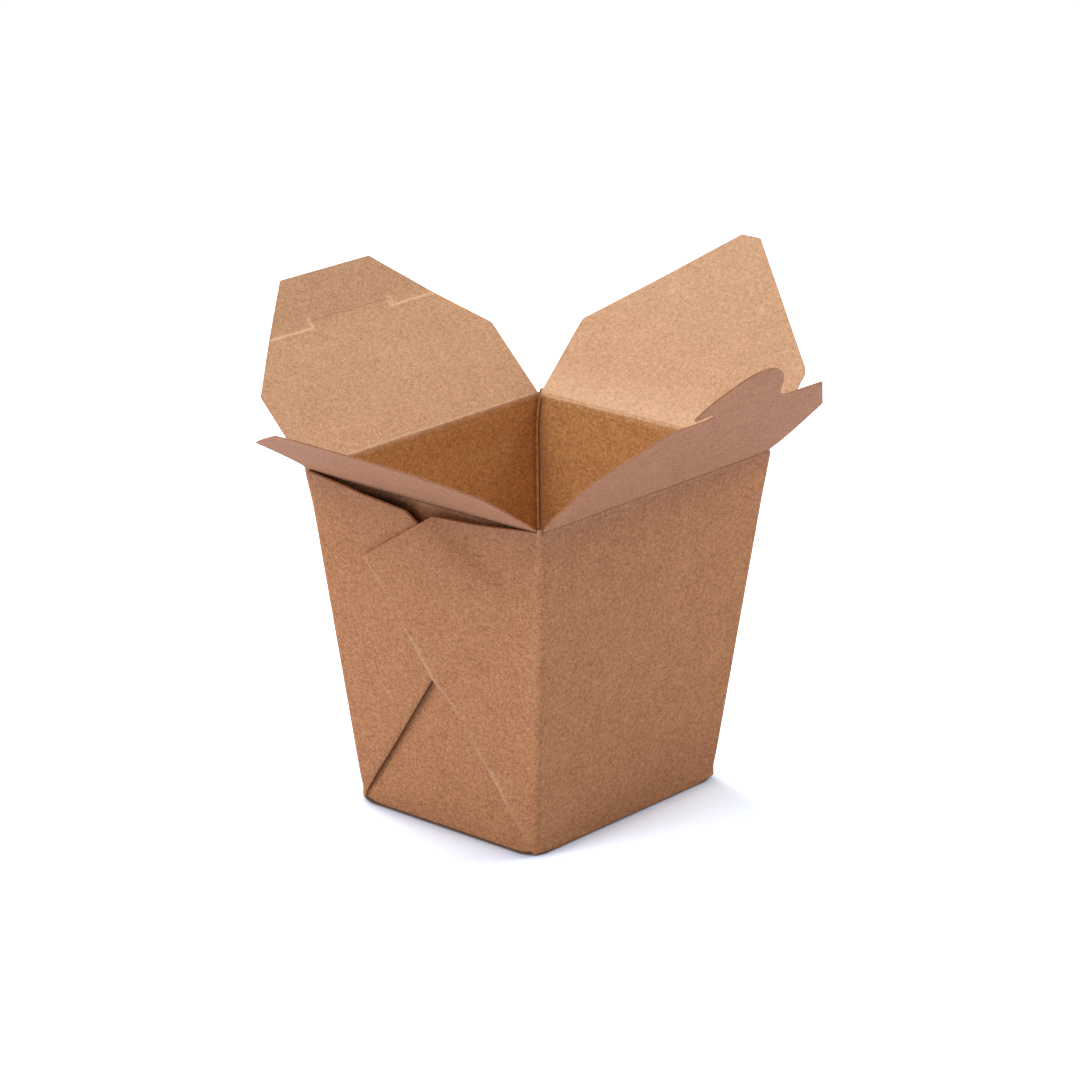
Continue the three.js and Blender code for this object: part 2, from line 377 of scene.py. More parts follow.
def corner_columns(is_outer, wall, side, peak):
    """One corner's columns in the +X +Y quarter, from its front or back wall to its side
    wall. near is 1 at the corner itself, where it flares, and peak is its top."""
    cols = []

    def add(**given):
        cols.append(dict(sx=1, sy=1, lat=1, **given))

    def on_wall(dx, dy, top, near, tone=0.0):
        add(ox=dx, oy=dy, top=top, lat_o=dx, wall=wall, near=near, tone=tone, swell=1)

    def on_side(dx, dy, top, near):
        add(ox=dx, oy=dy, top=top, lat_o=dy, wall=side, near=near)

    if is_outer:
        for dx in (-5.0, -4.2, -3.5, -2.9, -2.4):
            on_wall(dx, 0, LOW_TOP, smoothstep(-5, -2, dx))
        for k, degrees in enumerate((0, 0, 15, 30, 45, 60, 75, 90)):
            a = math.radians(degrees)
            add(
                rx=math.sin(a) - 1, ry=math.cos(a) - 1, ox=-STEP_WIDTH if k == 0 else 0,
                top=LOW_TOP if k == 0 else peak, lat_r=degrees / 45 - 1, wall=wall, near=1,
                swell=1 - degrees / 90,
            )
        add(qy=-1, top=peak - 0.5, lat_q=1, wall=wall, near=1)
        for oy, top in ((0, peak - 0.5), (-STEP_WIDTH, SIDE_TOP)):
            add(ox=-WEB, oy=oy, qy=-1, top=top, lat_q=-1, wall=side, near=1)
        for dy in (-2.9, -3.4, -4.1, -5.0):
            on_side(-WEB, dy, SIDE_TOP, smoothstep(-5, -2, dy))
        return cols
    # Inside, the scored corner is a shallow hollow, a bead and a gap: along the wall, out from it
    # and the tone. The tone is painted shade in the hollow and the gap and a painted highlight on
    # the bead.
    x, y = -WEB - INSIDE[0], -INSIDE[1]
    hollow = [(-5.0, 0, 0), (-4.2, 0.02, 0), (-3.5, 0.08, -0.1), (-2.9, 0.2, -0.35)]
    hollow += [(-2.5, 0.28, -0.6), (-2.3, 0.24, -0.5)]
    bead = [(-2.16, -0.08, 0), (-2.03, -0.3, 0.4), (-1.9, -0.4, 0.5), (-1.76, -0.3, 0.3)]
    bead += [(-1.66, -0.05, -0.4)]
    gap = [(-1.54, 0.3, -1), (-1.54 + STEP_WIDTH, 0.3, -1), (-1.3, 0.2, -1)]
    for dx, rise, tone in hollow + bead + gap:
        top = LOW_TOP if dx <= -1.54 else peak - 0.2
        on_wall(dx, y + rise, top, smoothstep(-5, -2, dx), tone)
    turn = [(0.16, -0.5), (0.09, -0.75), (0.05, -1.1)]
    turn += [(0.05, -1.1 - STEP_WIDTH), (0.02, -2.0), (0, -5.0)]
    for out, dy in turn:
        on_side(x + out, dy, peak - 0.2 if dy >= -1.1 else SIDE_TOP, smoothstep(-5, -1.1, dy))
    return cols


def cup_columns(is_outer):
    """All the columns, anticlockwise from above."""
    inset = np.zeros(2) if is_outer else INSIDE
    shares = np.linspace(-1, 1, WALL_COLUMNS + 2)[1:-1]
    end_level = {-1: LEVEL["front"], 1: LEVEL["back"]}
    side_level = {-1: LEVEL["left"], 1: LEVEL["right"]}
    cols = []

    def side_wall(sx, order):
        for u in shares[::order]:
            run = -CORNER_RUN * u
            cols.append(dict(
                sx=sx, sy=u, ox=-sx * (WEB + inset[0]), oy=run, top=SIDE_TOP, lat=u, lat_o=run,
                wall=side_level[sx]))

    def end_wall(sy, order):
        for u in shares[::order]:
            run = -CORNER_RUN * u
            cols.append(dict(
                sx=u, sy=sy, ox=run, oy=-sy * inset[1], top=LOW_TOP, lat=u, lat_o=run,
                wall=end_level[sy], swell=1))

    def corner(sx, sy):
        wall, side = end_level[sy], side_level[sx]
        made = corner_columns(is_outer, wall, side, CORNER_TOP[sx, sy])
        for col in made if sx * sy < 0 else made[::-1]:
            signs = dict.fromkeys(X_FIELDS, sx) | dict.fromkeys(Y_FIELDS, sy)
            signs |= dict.fromkeys(LAT_FIELDS, sx if col["wall"] == wall else sy)
            col = {key: value * signs.get(key, 1) for key, value in col.items()}
            cols.append(col | {"flare": RIM_FLARE[sx, sy], "push": CORNER_PUSH[sx, sy]})

    side_wall(1, 1)
    corner(1, 1)
    end_wall(1, -1)
    corner(-1, 1)
    side_wall(-1, -1)
    corner(-1, -1)
    end_wall(-1, 1)
    corner(1, -1)
    return {key: np.array([col.get(key, 0) for col in cols], float) for key in FIELDS}


def wall_bow(x, y, z):
    """The walls' slight unevenness: how much further a wall stands out."""
    along = np.where(np.abs(x) > np.abs(y) * RIM[0] / RIM[1], y, x)
    wave = 0.22 * np.sin(along * 0.055 + z * 0.021 + 1.1) + 0.12 * np.sin(along * 0.12 - z * 0.06)
    return wave * smoothstep(0, 14, z) * smoothstep(104, 84, z)


def corner_push(flare, push, z):
    """How far a corner stands out sideways at a height."""
    return flare * smoothstep(90, 102, z) ** 2 + push * (0.6 + 0.4 * smoothstep(0, 10, z))


def foot_swell(z):
    """How far a side wall stands out past flat, low down."""
    return FOOT_SWELL * smoothstep(22, 0, z)


def foot_radius(reach):
    """Radius of the bottom edge, by distance from a corner."""
    return FOOT_RADIUS + (FOOT_RADIUS_AT_CORNER - FOOT_RADIUS) * bump(reach, FOOT_REACH)


def edge_rise(x, y):
    """Height of the base's edge off the ground."""
    apart = np.hypot(np.abs(x) - BASE[0], np.abs(y) - BASE[1])
    return EDGE_RISE + (EDGE_RISE_AT_CORNER - EDGE_RISE) * bump(apart, FOOT_REACH)


def cup_surface(cols, is_outer):
    """Columns by rows of points, and the same of sheet places."""
    count = len(cols["top"])
    foot_x = cols["sx"] * BASE[0] + cols["ox"]
    foot_y = cols["sy"] * BASE[1] + cols["oy"]
    reach = np.abs(np.abs(foot_x) - BASE[0]) + np.abs(np.abs(foot_y) - BASE[1])
    foot = foot_radius(reach)
    if not is_outer:
        foot = np.maximum(foot - BOARD, 0.3)
    floor = edge_rise(foot_x, foot_y) + (0 if is_outer else BOARD)
    top = [cols["top"] + (EVEN_FROM - cols["top"]) * k / TOP_ROWS for k in range(TOP_ROWS)]
    even = [np.full(count, z) for z in np.linspace(EVEN_FROM, EVEN_TO, EVEN_ROWS)]
    z = np.stack(top + even + [floor + foot], 1)
    lean = corner_at(z)
    radius, seam = corner_radius(z), seam_past_corner(z)

    def place(share, offset, rnd, past, axis, size=1.0):
        at = cols[share][:, None] * lean[..., axis] + cols[offset][:, None]
        return at + size * (cols[rnd][:, None] * radius + cols[past][:, None] * seam)

    x, y = place("sx", "ox", "rx", "qx", 0), place("sy", "oy", "ry", "qy", 1)
    is_side = (cols["wall"] >= LEVEL["left"])[:, None]
    run = np.where(is_side, lean[..., 1], lean[..., 0])
    lat = cols["lat"][:, None] * run + cols["lat_o"][:, None]
    lat = lat + cols["lat_r"][:, None] * radius + cols["lat_q"][:, None] * seam
    push = corner_push(cols["flare"][:, None], cols["push"][:, None], z)
    near = cols["near"][:, None]
    moved_x = np.sign(x) * (near * push + (1 - near) * foot_swell(z) * is_side)
    swell = SWELL * (0.8 + 0.2 * smoothstep(0, 12, z)) * smoothstep(101, 90, z)
    moved_y = np.sign(y) * cols["swell"][:, None] * swell
    x, y = x + moved_x, y + moved_y
    bow = wall_bow(x, y, z) * smoothstep(CORNER_RUN, 20, reach)[:, None]
    x = x + np.sign(x) * bow * ((np.abs(cols["sx"]) == 1) & (np.abs(cols["sy"]) < 1))[:, None]
    y = y + np.sign(y) * bow * (np.abs(cols["sx"]) < 1)[:, None]
    verts = np.stack([x, y, z], -1)
    arc = []
    for k in range(1, ARC_ROWS + 1):
        a = math.pi / 2 * k / ARC_ROWS
        size = 1 - 0.9 * k / ARC_ROWS
        inset = foot * (1 - math.cos(a))
        arc_x = (place("sx", "ox", "rx", "qx", 0, size) + moved_x)[:, -1] * (1 - inset / BASE[0])
        arc_y = (place("sy", "oy", "ry", "qy", 1, size) + moved_y)[:, -1] * (1 - inset / BASE[1])
        arc.append(np.stack([arc_x, arc_y, floor + foot * (1 - math.sin(a))], -1))
    arc_end = arc[-1]
    for past in BASE_RINGS:
        inset = (FOOT_RADIUS_AT_CORNER - foot + past)[:, None]
        ring = arc_end[:, :2] * (1 - inset / BASE)
        sink = 0.9 * smoothstep(0, 8, past) * (floor - (0 if is_outer else BOARD))
        arc.append(np.concatenate([ring, (floor - sink)[:, None]], 1))
    verts = np.concatenate([verts, np.stack(arc, 1)], 1)
    along_arc = np.linalg.norm(np.diff(verts[:, -len(arc) - 1 :], axis=1), axis=-1)
    drop = np.concatenate([z, z[:, -1:] - np.cumsum(along_arc, 1)], 1)
    lat = np.concatenate([lat] + [lat[:, -1:]] * len(arc), 1)
    face = FACE_GAP if is_outer else -FACE_GAP
    sheet = np.stack([lat, drop, cols["wall"][:, None] + face + 0 * lat], -1)
    sheet[:, -1, :2] = verts[:, -1, :2]  # the base's own board starts here
    sheet[:, -1, 2] = LEVEL["base"] + face
    return verts, sheet


def pocket_shade(y):
    """How much painted shade falls behind the webs' mouths, less where the webs' tips leave a gap.
    """
    return 0.2 + 0.8 * smoothstep(8, 24, np.abs(y - WEBS_APART_AT))


def painted_shade_behind_webs(y, z):
    """Painted shade on a side wall's outside, behind its webs, given as a crease tone."""
    return -smoothstep(90, 96, z) * (1.2 + 0.6 * smoothstep(100.6, 98, z)) * pocket_shade(y)


def add_cup(shell):
    rims = []
    for is_outer in (True, False):
        cols = cup_columns(is_outer)
        verts, sheet = cup_surface(cols, is_outer)
        count, rows = verts.shape[:2]
        # Outside, a side wall gets painted shade behind its webs.
        is_webbed = is_outer * (cols["wall"] >= LEVEL["left"]) * (1 - cols["near"])
        shade = painted_shade_behind_webs(cols["sy"][:, None] * RIM[1], verts[..., 2])
        tone = (cols["tone"][:, None] + is_webbed[:, None] * shade).ravel()
        ids = shell.add(verts.reshape(-1, 3), sheet.reshape(-1, 3), 0.0, tone)
        ids = ids.reshape(count, rows)
        nxt = np.roll(ids, -1, 0)
        quad = np.stack([ids[:, 1:], nxt[:, 1:], nxt[:, :-1], ids[:, :-1]], -1).reshape(-1, 4)
        shell.faces += (quad if is_outer else quad[:, ::-1]).tolist()
        rims.append(ids[:, 0])
        loop = verts[:, -1, :2]
        points, tris = triangulated(loop, 3.0)
        assert len(points) >= count and np.allclose(points[:count], loop, atol=1e-4)
        inner = points[count:]
        near_edge = smoothstep(9, 0, edge_distance(inner, loop))
        rise = 0.68 * near_edge * edge_rise(inner[:, 0], inner[:, 1])
        level = (0 if is_outer else BOARD) + rise
        new = shell.add(
            np.concatenate([inner, level[:, None]], 1),
            np.concatenate([inner, np.full((len(inner), 1), sheet[0, -1, 2])], 1),
        )
        at = np.concatenate([ids[:, -1], new])
        shell.faces += at[tris[:, ::-1] if is_outer else tris].tolist()
    outer, inner = rims
    shell.faces += np.stack([outer, np.roll(outer, -1), np.roll(inner, -1), inner], 1).tolist()


# ---- the webs
WEB_DOWN = math.cos(math.atan(LEAN[0]))  # fall in height along a side wall's slope
WEB_SLANT = HEIGHT / WEB_DOWN
WEB_END = WEB_SLANT - 3.6  # a web tapers out just above the ground
SIDE_WIDTH = 2 * RIM[1]
WEB_RECESS = 0.015  # a web's face lies this far under its corner's
WEB_GAP = 0.02  # between a web's two layers
DRAPE = 9.0  # the upper web starts to rise this far before the lower one's edge
ON_FOLD = 0.06  # a point this close to a web's diagonal fold is on it


# In a web's plane s runs along the rim from its own corner, and t down the wall.
def web_height(t):
    return HEIGHT - t * WEB_DOWN


def web_root(z):
    """The s at which the web's own board starts, beside its corner."""
    return LEAN[1] * (HEIGHT - z) + seam_past_corner(z)


WEB_FOOT = (web_root(web_height(WEB_END)), WEB_END)


def web_past_root(s, t):
    """Distance beyond the line where the web's own board starts."""
    return s - web_root(web_height(t))


def web_corners(end):
    """A web's outline: its tip, its heel at the diagonal fold, its root and its top edge."""
    rows = np.concatenate([np.linspace(WEB_END, 90, 9), np.linspace(85, -0.2, 24)])
    root = [(web_root(web_height(t)), t, 0) for t in rows]
    top_edge = [(14, 1.25, 0), (27, 2.3, 0)]
    return [(*WEB_TIP[end], 0.5), (*WEB_HEEL, 0.7)] + root + top_edge


LOWER_OUTLINE = np.array([c[:2] for c in web_corners(1)])


def sprung(s, t, height, run):
    """How far a web springs off its wall, and further at its top edge, which leaves a pocket
    behind it."""
    past = np.maximum(web_past_root(s, t), 0)
    mouth = 1.5 * smoothstep(38, 0, t) * smoothstep(0, 24, past)
    return height * (1 - np.exp(-past / run)) * smoothstep(0, 6, past) + mouth


def lower_lift(s, t):
    return sprung(s, t, 1.3, 22)


def upper_lift(s, t):
    """The upper web laps over the lower one."""
    own = sprung(s, t, 0.45, 20)
    opposite = np.stack([SIDE_WIDTH - s, t], 1)
    over = smoothstep(-DRAPE, -0.2, signed_inside(opposite, LOWER_OUTLINE))
    lap = lower_lift(SIDE_WIDTH - s, t) + WEB + 0.08
    tip = 0.3 * smoothstep(16, 0, np.hypot(s - WEB_TIP[-1][0], t - WEB_TIP[-1][1]))
    return own * (1 - over) + lap * over + tip


def off_fold(p):
    """Distance from a web's diagonal fold, and from its heel along it."""
    heel, foot = np.array(WEB_HEEL), np.array(WEB_FOOT)
    run = unit(foot - heel)
    return np.abs((p - heel) @ np.array([-run[1], run[0]])), (p - heel) @ run


def web_kind(p):
    """Which rim each edge point of a web has."""
    off, along = off_fold(p)
    on_fold = (off < ON_FOLD) & (along > 0.3)
    on_root = web_past_root(p[:, 0], p[:, 1]) < 0.05
    return np.where(on_root, BUTT, np.where(on_fold, FOLD_UP, CUT))


def add_web(shell, side, end):
    """One folded web: side is its wall's sign in X, end its own corner's in Y."""
    origin = np.array([side * (RIM[0] - WEB), end * RIM[1], HEIGHT])
    along = np.array([0.0, -end, 0.0])
    down = np.array([-side * LEAN[0], 0, -1]) * WEB_DOWN
    outward = np.array([side, 0, -LEAN[0]]) * WEB_DOWN
    is_upper = end < 0
    flare, push = RIM_FLARE[side, end], CORNER_PUSH[side, end]

    def mid_at(depth):
        def mid(p):
            s, t = p[:, 0], p[:, 1]
            z = web_height(t)
            lift = upper_lift(s, t) if is_upper else lower_lift(s, t)
            by_root = 1 - smoothstep(0, 16, np.maximum(web_past_root(s, t), 0))
            lift = lift + corner_push(flare, push, z) * by_root + foot_swell(z) * (1 - by_root)
            on_wall = origin + s[:, None] * along + t[:, None] * down
            return on_wall + (depth + lift)[:, None] * outward

        return mid

    def sheet(p):
        z = web_height(p[:, 1])
        lateral = side * (corner_at(z)[:, 0] + p[:, 0] - LEAN[1] * (HEIGHT - z))
        return np.stack([lateral, z], 1)

    def inner_layer_kind(p):
        found = web_kind(p)
        return np.where(found == FOLD_UP, FOLD_DOWN, found)

    def relief(p):
        """Along the fold, pale wear and a painted highlight on the upper web and painted shade on
        the lower one, and painted shade near the top edge, under the flap.
        """
        off, down_fold = off_fold(p)
        fold_tone = 0.5 + 0.25 * np.sin(down_fold * 0.16 + 2.2) if is_upper else -0.4
        tone = fold_tone * bump(off, 0.45) - 0.2 * smoothstep(35, 0, p[:, 1])
        return 0, 0, tone, tone

    level = LEVEL["front" if is_upper else "back"]
    layers = (
        (HALF - WEB_RECESS - WEB_GAP, level + LAYER_GAP, inner_layer_kind, None),
        (BOARD + HALF - WEB_RECESS, level, web_kind, relief),
    )
    loop = rounded_loop(web_corners(end), 1.2)
    # The upper web's folded rim is pale with wear and a painted highlight; the lower web's folded
    # rim gets a deep painted shadow.
    for depth, pattern_depth, kind, layer_relief in layers:
        bend_sheet(
            shell, loop, mid_at(depth), (sheet, pattern_depth), kind, layer_relief,
            sign=side * end, spacing=2.2, fold_tone=0.3 if is_upper else -1.5, cut_tone=0.9,
        )


# ---- the flaps
class Flap:
    """A lid flap's frame: x along the crease, v away from it up the board, and the bend of
    the board where it leaves its wall."""

    REACH = 1.0  # half the length of board that makes the bend

    def __init__(self, name, x, y, angle, warp):
        """x and y point out of the wall, and angle is above level."""
        self.out = np.array([x, y, 0.0])
        self.along = np.array([y, -x, 0.0])
        crease, height = (SIDE_CREASE, SIDE_CREASE_HEIGHT) if x else (END_CREASE, HEIGHT)
        self.axis = crease * self.out + (0, 0, height)
        self.lean = math.atan(LEAN[0] if x else LEAN[1])
        self.angle = math.radians(angle)
        self.warp = warp
        self.pattern = (self.sheet, LEVEL[name])

    def profile(self, x, v):
        """Out and up from the crease axis, on the board's middle."""
        depth = CREASE_CLEAR + HALF
        lean, reach = self.lean, self.REACH
        up_wall = np.array([math.sin(lean), math.cos(lean)])
        in_wall = np.array([-math.cos(lean), math.sin(lean)])
        wall = depth * in_wall + v[:, None] * up_wall
        w = np.maximum(v - reach, 0)
        start, curl, rise = self.warp(x, w)
        away = reach + w - w * (start + curl * w / 2) ** 2 / 2
        off = depth + start * w + curl * w**2 / 2 + rise
        c, s = math.cos(self.angle), math.sin(self.angle)
        flap = np.stack([away * c - off * s, away * s + off * c], 1)
        first = depth * in_wall - reach * up_wall
        last = np.array([reach * c - depth * s, reach * s + depth * c])
        heading = np.stack([np.cos(self.angle + start), np.sin(self.angle + start)], 1)
        t = np.clip((v + reach) / (2 * reach), 0, 1)[:, None]
        pull = 1.6 * reach / 3
        bend = cubic(t, first, first + pull * up_wall, last - pull * heading, last)
        return np.where(v[:, None] < -reach, wall, np.where(v[:, None] > reach, flap, bend))

    def mid(self, p):
        """Flat points on the board's middle surface."""
        x, v = p[:, 0], p[:, 1]
        out_up = self.profile(x, v)
        at = self.axis + x[:, None] * self.along + out_up[:, :1] * self.out
        at[:, 2] += out_up[:, 1]
        if self.out[0] != 0:  # below the crease a side flap's ends follow their corners
            near = smoothstep(CORNER_RUN, 1.1, RIM[1] - np.abs(x)) * smoothstep(1.0, -1.8, v)
            for sy in (-1, 1):
                corner = int(self.out[0]), sy
                push = corner_push(RIM_FLARE[corner], CORNER_PUSH[corner], at[:, 2])
                at[:, 0] += self.out[0] * near * (np.sign(at[:, 1]) == sy) * push
        return at

    def sheet(self, p):
        """Flat points in the kraft pattern, in line with the wall below."""
        lateral = p[:, 0] * self.along.sum()
        return np.stack([lateral, self.axis[2] + p[:, 1]], 1)

    def place(self, v):
        """The middle of the board at v, in metres."""
        return tuple((self.mid(np.array([[0.0, v]]))[0] * MM).tolist())


CREASE_ROWS = (0.13, 0.27, 0.4, 0.55, 0.75, 1.0, 1.4)  # on either side of a crease
CREASE_ROWS = [-v for v in CREASE_ROWS[::-1]] + [0, *CREASE_ROWS]


def crease_relief(at=0.0, pale=0.9, below=0.0, inner_shade=0.0, outer_shade=0.0, wear_and_light=0.0,
                  y_sign=1):
    """A scored crease: a bead on the inner, + face, paler by pale, and a groove in the outer, -
    face, dark with painted shade. Outside, the board below it has the tone below, painted shade in
    the webs' pocket. inner_shade and outer_shade paint light and shade over the rest of the faces'
    tones, and the sixth argument adds a lighter band, pale wear with painted light, towards the
    crease on the inner one. The ends of the back flap's slit are pale with wear. y_sign is the sign
    of y along x."""

    def relief(p):
        x, v = p[:, 0], p[:, 1] - at
        dark = below * pocket_shade(x * y_sign) * smoothstep(0.6, -0.3, v)
        outer = np.minimum((0.7 * below - 1) * bump(v, 0.16), dark)
        outer = np.minimum(outer, outer_shade)
        rest = inner_shade + wear_and_light * smoothstep(16, 1, v) * (v > 0)
        inner = np.where(np.abs(v) < 0.9, pale * bump(v, 0.34), rest)
        by_slit = np.abs(p[:, 1] - (TIP_SCORE + SLIT_REACH) / 2) < 1.6
        by_slit &= np.abs(np.abs(x) - SLIT_HALF) < 0.1
        inner = np.where(by_slit, 0.8, inner)
        return 0.12 * bump(v, 0.35), -0.1 * bump(v, 0.22), inner, outer

    return relief


def warp_of(start, twist, curl, wave, phase):
    """A flap's unevenness. Angles in degrees: start at the crease, twist over 100 mm of it,
    and curl per mm. The wave's height is in mm."""

    def warp(x, w):
        rise = wave * smoothstep(0, 25, w) * np.sin(0.055 * x + 0.07 * w + phase)
        return np.radians(start + twist * x / 100), math.radians(curl), rise

    return warp


FLAPS = {
    "front": Flap("front", 0, -1, 45.0, warp_of(-0.75, 1.3, 0, 0.08, 0.4)),
    "back": Flap("back", 0, 1, 44.5, warp_of(-0.3, 0, 0, 0.08, 2.0)),
    "left": Flap("left", -1, 0, 29.5, warp_of(4.2, -2.6, -0.133, 0.1, 1.0)),
    "right": Flap("right", 1, 0, 45.0, warp_of(0.1, 0, 0, 0.15, 3.0)),
}


def mirrored(right):
    """An outline's right side and the same mirrored, as one closed list."""
    return right + [(-x, v, r) for x, v, r in right[::-1]]


def flap_kind(p):
    """Butted to the wall where the board belongs to it, and cut elsewhere."""
    return np.where(p[:, 1] < -0.5, BUTT, CUT)


def side_flap_loop(length, shoulder, shoulder_radius):
    """length is from the crease to the tip, and one shoulder has its own radius."""
    right = [(43.2, -SEAM_BELOW, 0), (43.2, 0.2, 0), (*shoulder, 1.6), (3.5, length, 0.3)]
    loop = mirrored(right)
    loop[2] = (*shoulder, shoulder_radius)
    return rounded_loop(loop, 1.5)


def front_flap_loop():
    """The flap with its tongue, which has a hook on one side."""
    edge = [(51.05, -SEAM_BELOW, 0), (51.05, -0.7, 0), (50.2, 0.1, 0), (50.4, 1.0, 0)]
    edge += [(51.3, 3.5, 0), (51.8, 8, 0), (51.7, 13, 0), (51.1, 20, 0)]
    edge += [(50.7, 25.8, 2.0), (33, 44.1, 0.5)]
    tongue = [np.array([(20.5, 44.3)])]
    steps = np.linspace(0, 1, 11)[1:, None]
    for handles_and_end in (
        ((18.5, 44.6), (16.9, 45.2), (17.0, 46.2)),
        ((17.3, 47.6), (20, 47.8), (23.6, 46.9)),
        ((25.6, 46.4), (27.0, 47.2), (27.0, 48.8)),
        ((27.4, 53.5), (26.6, 57.0), (24.4, 61.0)),
        ((21.9, 66.6), (19.4, 68.5), (15.6, 68.7)),
        ((9.5, 68.9), (2.8, 63.4), (-2.4, 57.9)),
        ((-7.6, 51.6), (-10.6, 44.6), (-17.6, 44.1)),
    ):
        tongue.append(cubic(steps, tongue[-1][-1], *np.array(handles_and_end)))
    lobe = [(x, v, 0) for x, v in np.concatenate(tongue).tolist()]
    other = [(-x, v, r) for x, v, r in edge[::-1]]
    return rounded_loop(edge + lobe + other, 1.2)


def back_slope(v):
    """Half width of the back flap above its shoulders."""
    return BACK_HALF - (v - SHOULDER) * BACK_TAPER


def back_panel_loop():
    """The back flap up to its tip's seam, with the lip that fills the slit."""
    gap = CUT_GAP / 2
    right = []
    for side, low, shoulder, rise in (
        (1, 49.7, BACK_HALF, SHOULDER),
        (-1, 51.5, BACK_HALF + 1, SHOULDER - 1.1),
    ):
        root = BACK_HALF + CORNER_PUSH[side, 1] + RIM_FLARE[side, 1]
        right.append([
            (side * root, -SEAM_BELOW, 0), (side * root, -0.7, 0),
            (side * low, 0.3, 0), (side * shoulder, rise, 2.0),
            (side * back_slope(TIP_SEAM), TIP_SEAM, 0), (side * SLIT_HALF, TIP_SEAM, 0),
            (side * SLIT_HALF, TIP_SCORE, 0), (side * (SLIT_HALF - gap), TIP_SCORE + 0.1, 0),
            (side * (SLIT_HALF - gap), SLIT_REACH - gap, 0.3)])
    return rounded_loop(right[0] + right[1][::-1], 1.5)


def back_tip_loop():
    gap = CUT_GAP / 2
    right = [
        (SLIT_HALF + gap, SLIT_REACH + gap, 0), (SLIT_HALF + gap, TIP_SCORE + 0.1, 0),
        (SLIT_HALF, TIP_SCORE, 0), (SLIT_HALF, TIP_SEAM, 0), (back_slope(TIP_SEAM), TIP_SEAM, 0),
        (back_slope(TIP_END), TIP_END, 0.6)]
    return rounded_loop(mirrored(right), 1.5)


def back_kind(p):
    """Butted to the wall, and where the panel and its tip meet."""
    x, v = np.abs(p[:, 0]), p[:, 1]
    on_lip = (v > TIP_SEAM) & (v < SLIT_REACH + 0.1) & (x < SLIT_HALF + 0.1)
    return np.where((v < -0.5) | (np.abs(v - TIP_SEAM) < 0.05) | on_lip, BUTT, CUT)


def tip_mid(p):
    """The back flap's middle surface, bent inwards at the tip's score."""
    flap = FLAPS["back"]
    here = flap.mid(p)
    c, s = math.cos(flap.angle), math.sin(flap.angle)
    away = c * flap.out + np.array([0, 0, s])
    inner = -s * flap.out + np.array([0, 0, c])
    pivot = flap.axis + TIP_SCORE * away + (CREASE_CLEAR + BOARD) * inner
    turn = math.radians(TIP_BEND) * smoothstep(-TIP_BLEND, TIP_BLEND, p[:, 1] - TIP_SCORE)
    a, n = (here - pivot) @ away, (here - pivot) @ inner
    c, s = np.cos(turn), np.sin(turn)
    moved_a, moved_n = a * c - n * s, a * s + n * c
    return here + (moved_a - a)[:, None] * away + (moved_n - n)[:, None] * inner


def back_mid(p):
    """The panel's middle surface: its lip in the slit follows most of the tip's bend."""
    flat = FLAPS["back"].mid(p)
    return flat + 0.85 * (tip_mid(p) - flat)


# ---- kraft board
class Nodes:
    """A short way to build a material's nodes."""

    def __init__(self, name):
        self.material = bpy.data.materials.new(name)
        self.material.use_nodes = True
        self.tree = self.material.node_tree
        self.tree.nodes.clear()

    def put(self, kind, inputs=(), **settings):
        node = self.tree.nodes.new("ShaderNode" + kind)
        for key, value in settings.items():
            setattr(node, key, value)
        for key, value in dict(inputs).items():
            if isinstance(value, bpy.types.NodeSocket):
                self.tree.links.new(value, node.inputs[key])
            else:
                node.inputs[key].default_value = value
        return node

    def math(self, operation, *values):
        return self.put("Math", enumerate(values), operation=operation).outputs[0]

    def ramp(self, value, low, high, to_low=0.0, to_high=1.0, kind="LINEAR"):
        given = {"Value": value, "From Min": low, "From Max": high}
        given.update({"To Min": to_low, "To Max": to_high})
        return self.put("MapRange", given, interpolation_type=kind).outputs[0]

    def smooth(self, value, low, high):
        return self.ramp(value, low, high, kind="SMOOTHSTEP")

    def noise(self, vector, scale, detail, rough=0.5):
        given = {"Vector": vector, "Scale": scale, "Detail": detail, "Roughness": rough}
        return self.put("TexNoise", given).outputs["Fac"]

    def mapped(self, vector, location, turn, scale):
        rotation = (0, 0, math.radians(turn))
        given = {"Vector": vector, "Location": location, "Rotation": rotation, "Scale": scale}
        return self.put("Mapping", given).outputs[0]

    def mix(self, factor, a, b):
        """A mix of two colours."""
        return self.put("Mix", {0: factor, 6: a, 7: b}, data_type="RGBA").outputs[2]


def srgb(r, g, b):
    """A colour given as 0-255 display values, for which 10 is the end of the linear part."""
    linear = (c / 255 / 12.92 if c <= 10 else ((c / 255 + 0.055) / 1.055) ** 2.4 for c in (r, g, b))
    return (*linear, 1.0)


# The darkest and lightest tones of each face's mottle, then single colours.
# The walls' inner faces are darker and more saturated than the flaps' by painted shade inside the
# tub, and the flaps' outer faces are greyer than the walls' by a painted reflection.
OUTER_BOARD = srgb(158, 101, 61), srgb(214, 153, 109)
OUTER_FLAP = srgb(151, 99, 68), srgb(204, 148, 113)
INNER_BOARD = srgb(151, 100, 51), srgb(216, 160, 102)
INNER_FLAP = srgb(158, 114, 78), srgb(200, 158, 122)
PRESSED_MARK = srgb(206, 158, 122)
PALE_FIBRE = srgb(232, 196, 156)
DARK_FIBRE = srgb(120, 74, 42)
FLECK = srgb(104, 68, 44)
CUT_EDGE = srgb(150, 84, 42)
# The next colour is pale wear, also used as a painted highlight along folds and a painted lighter
# band; the one after is painted shade, and the last a deeper painted shadow.
WEAR_AND_HIGHLIGHT = srgb(226, 190, 156)
PAINTED_SHADE = srgb(104, 64, 36)
IN_SHADOW = srgb(34, 20, 9)


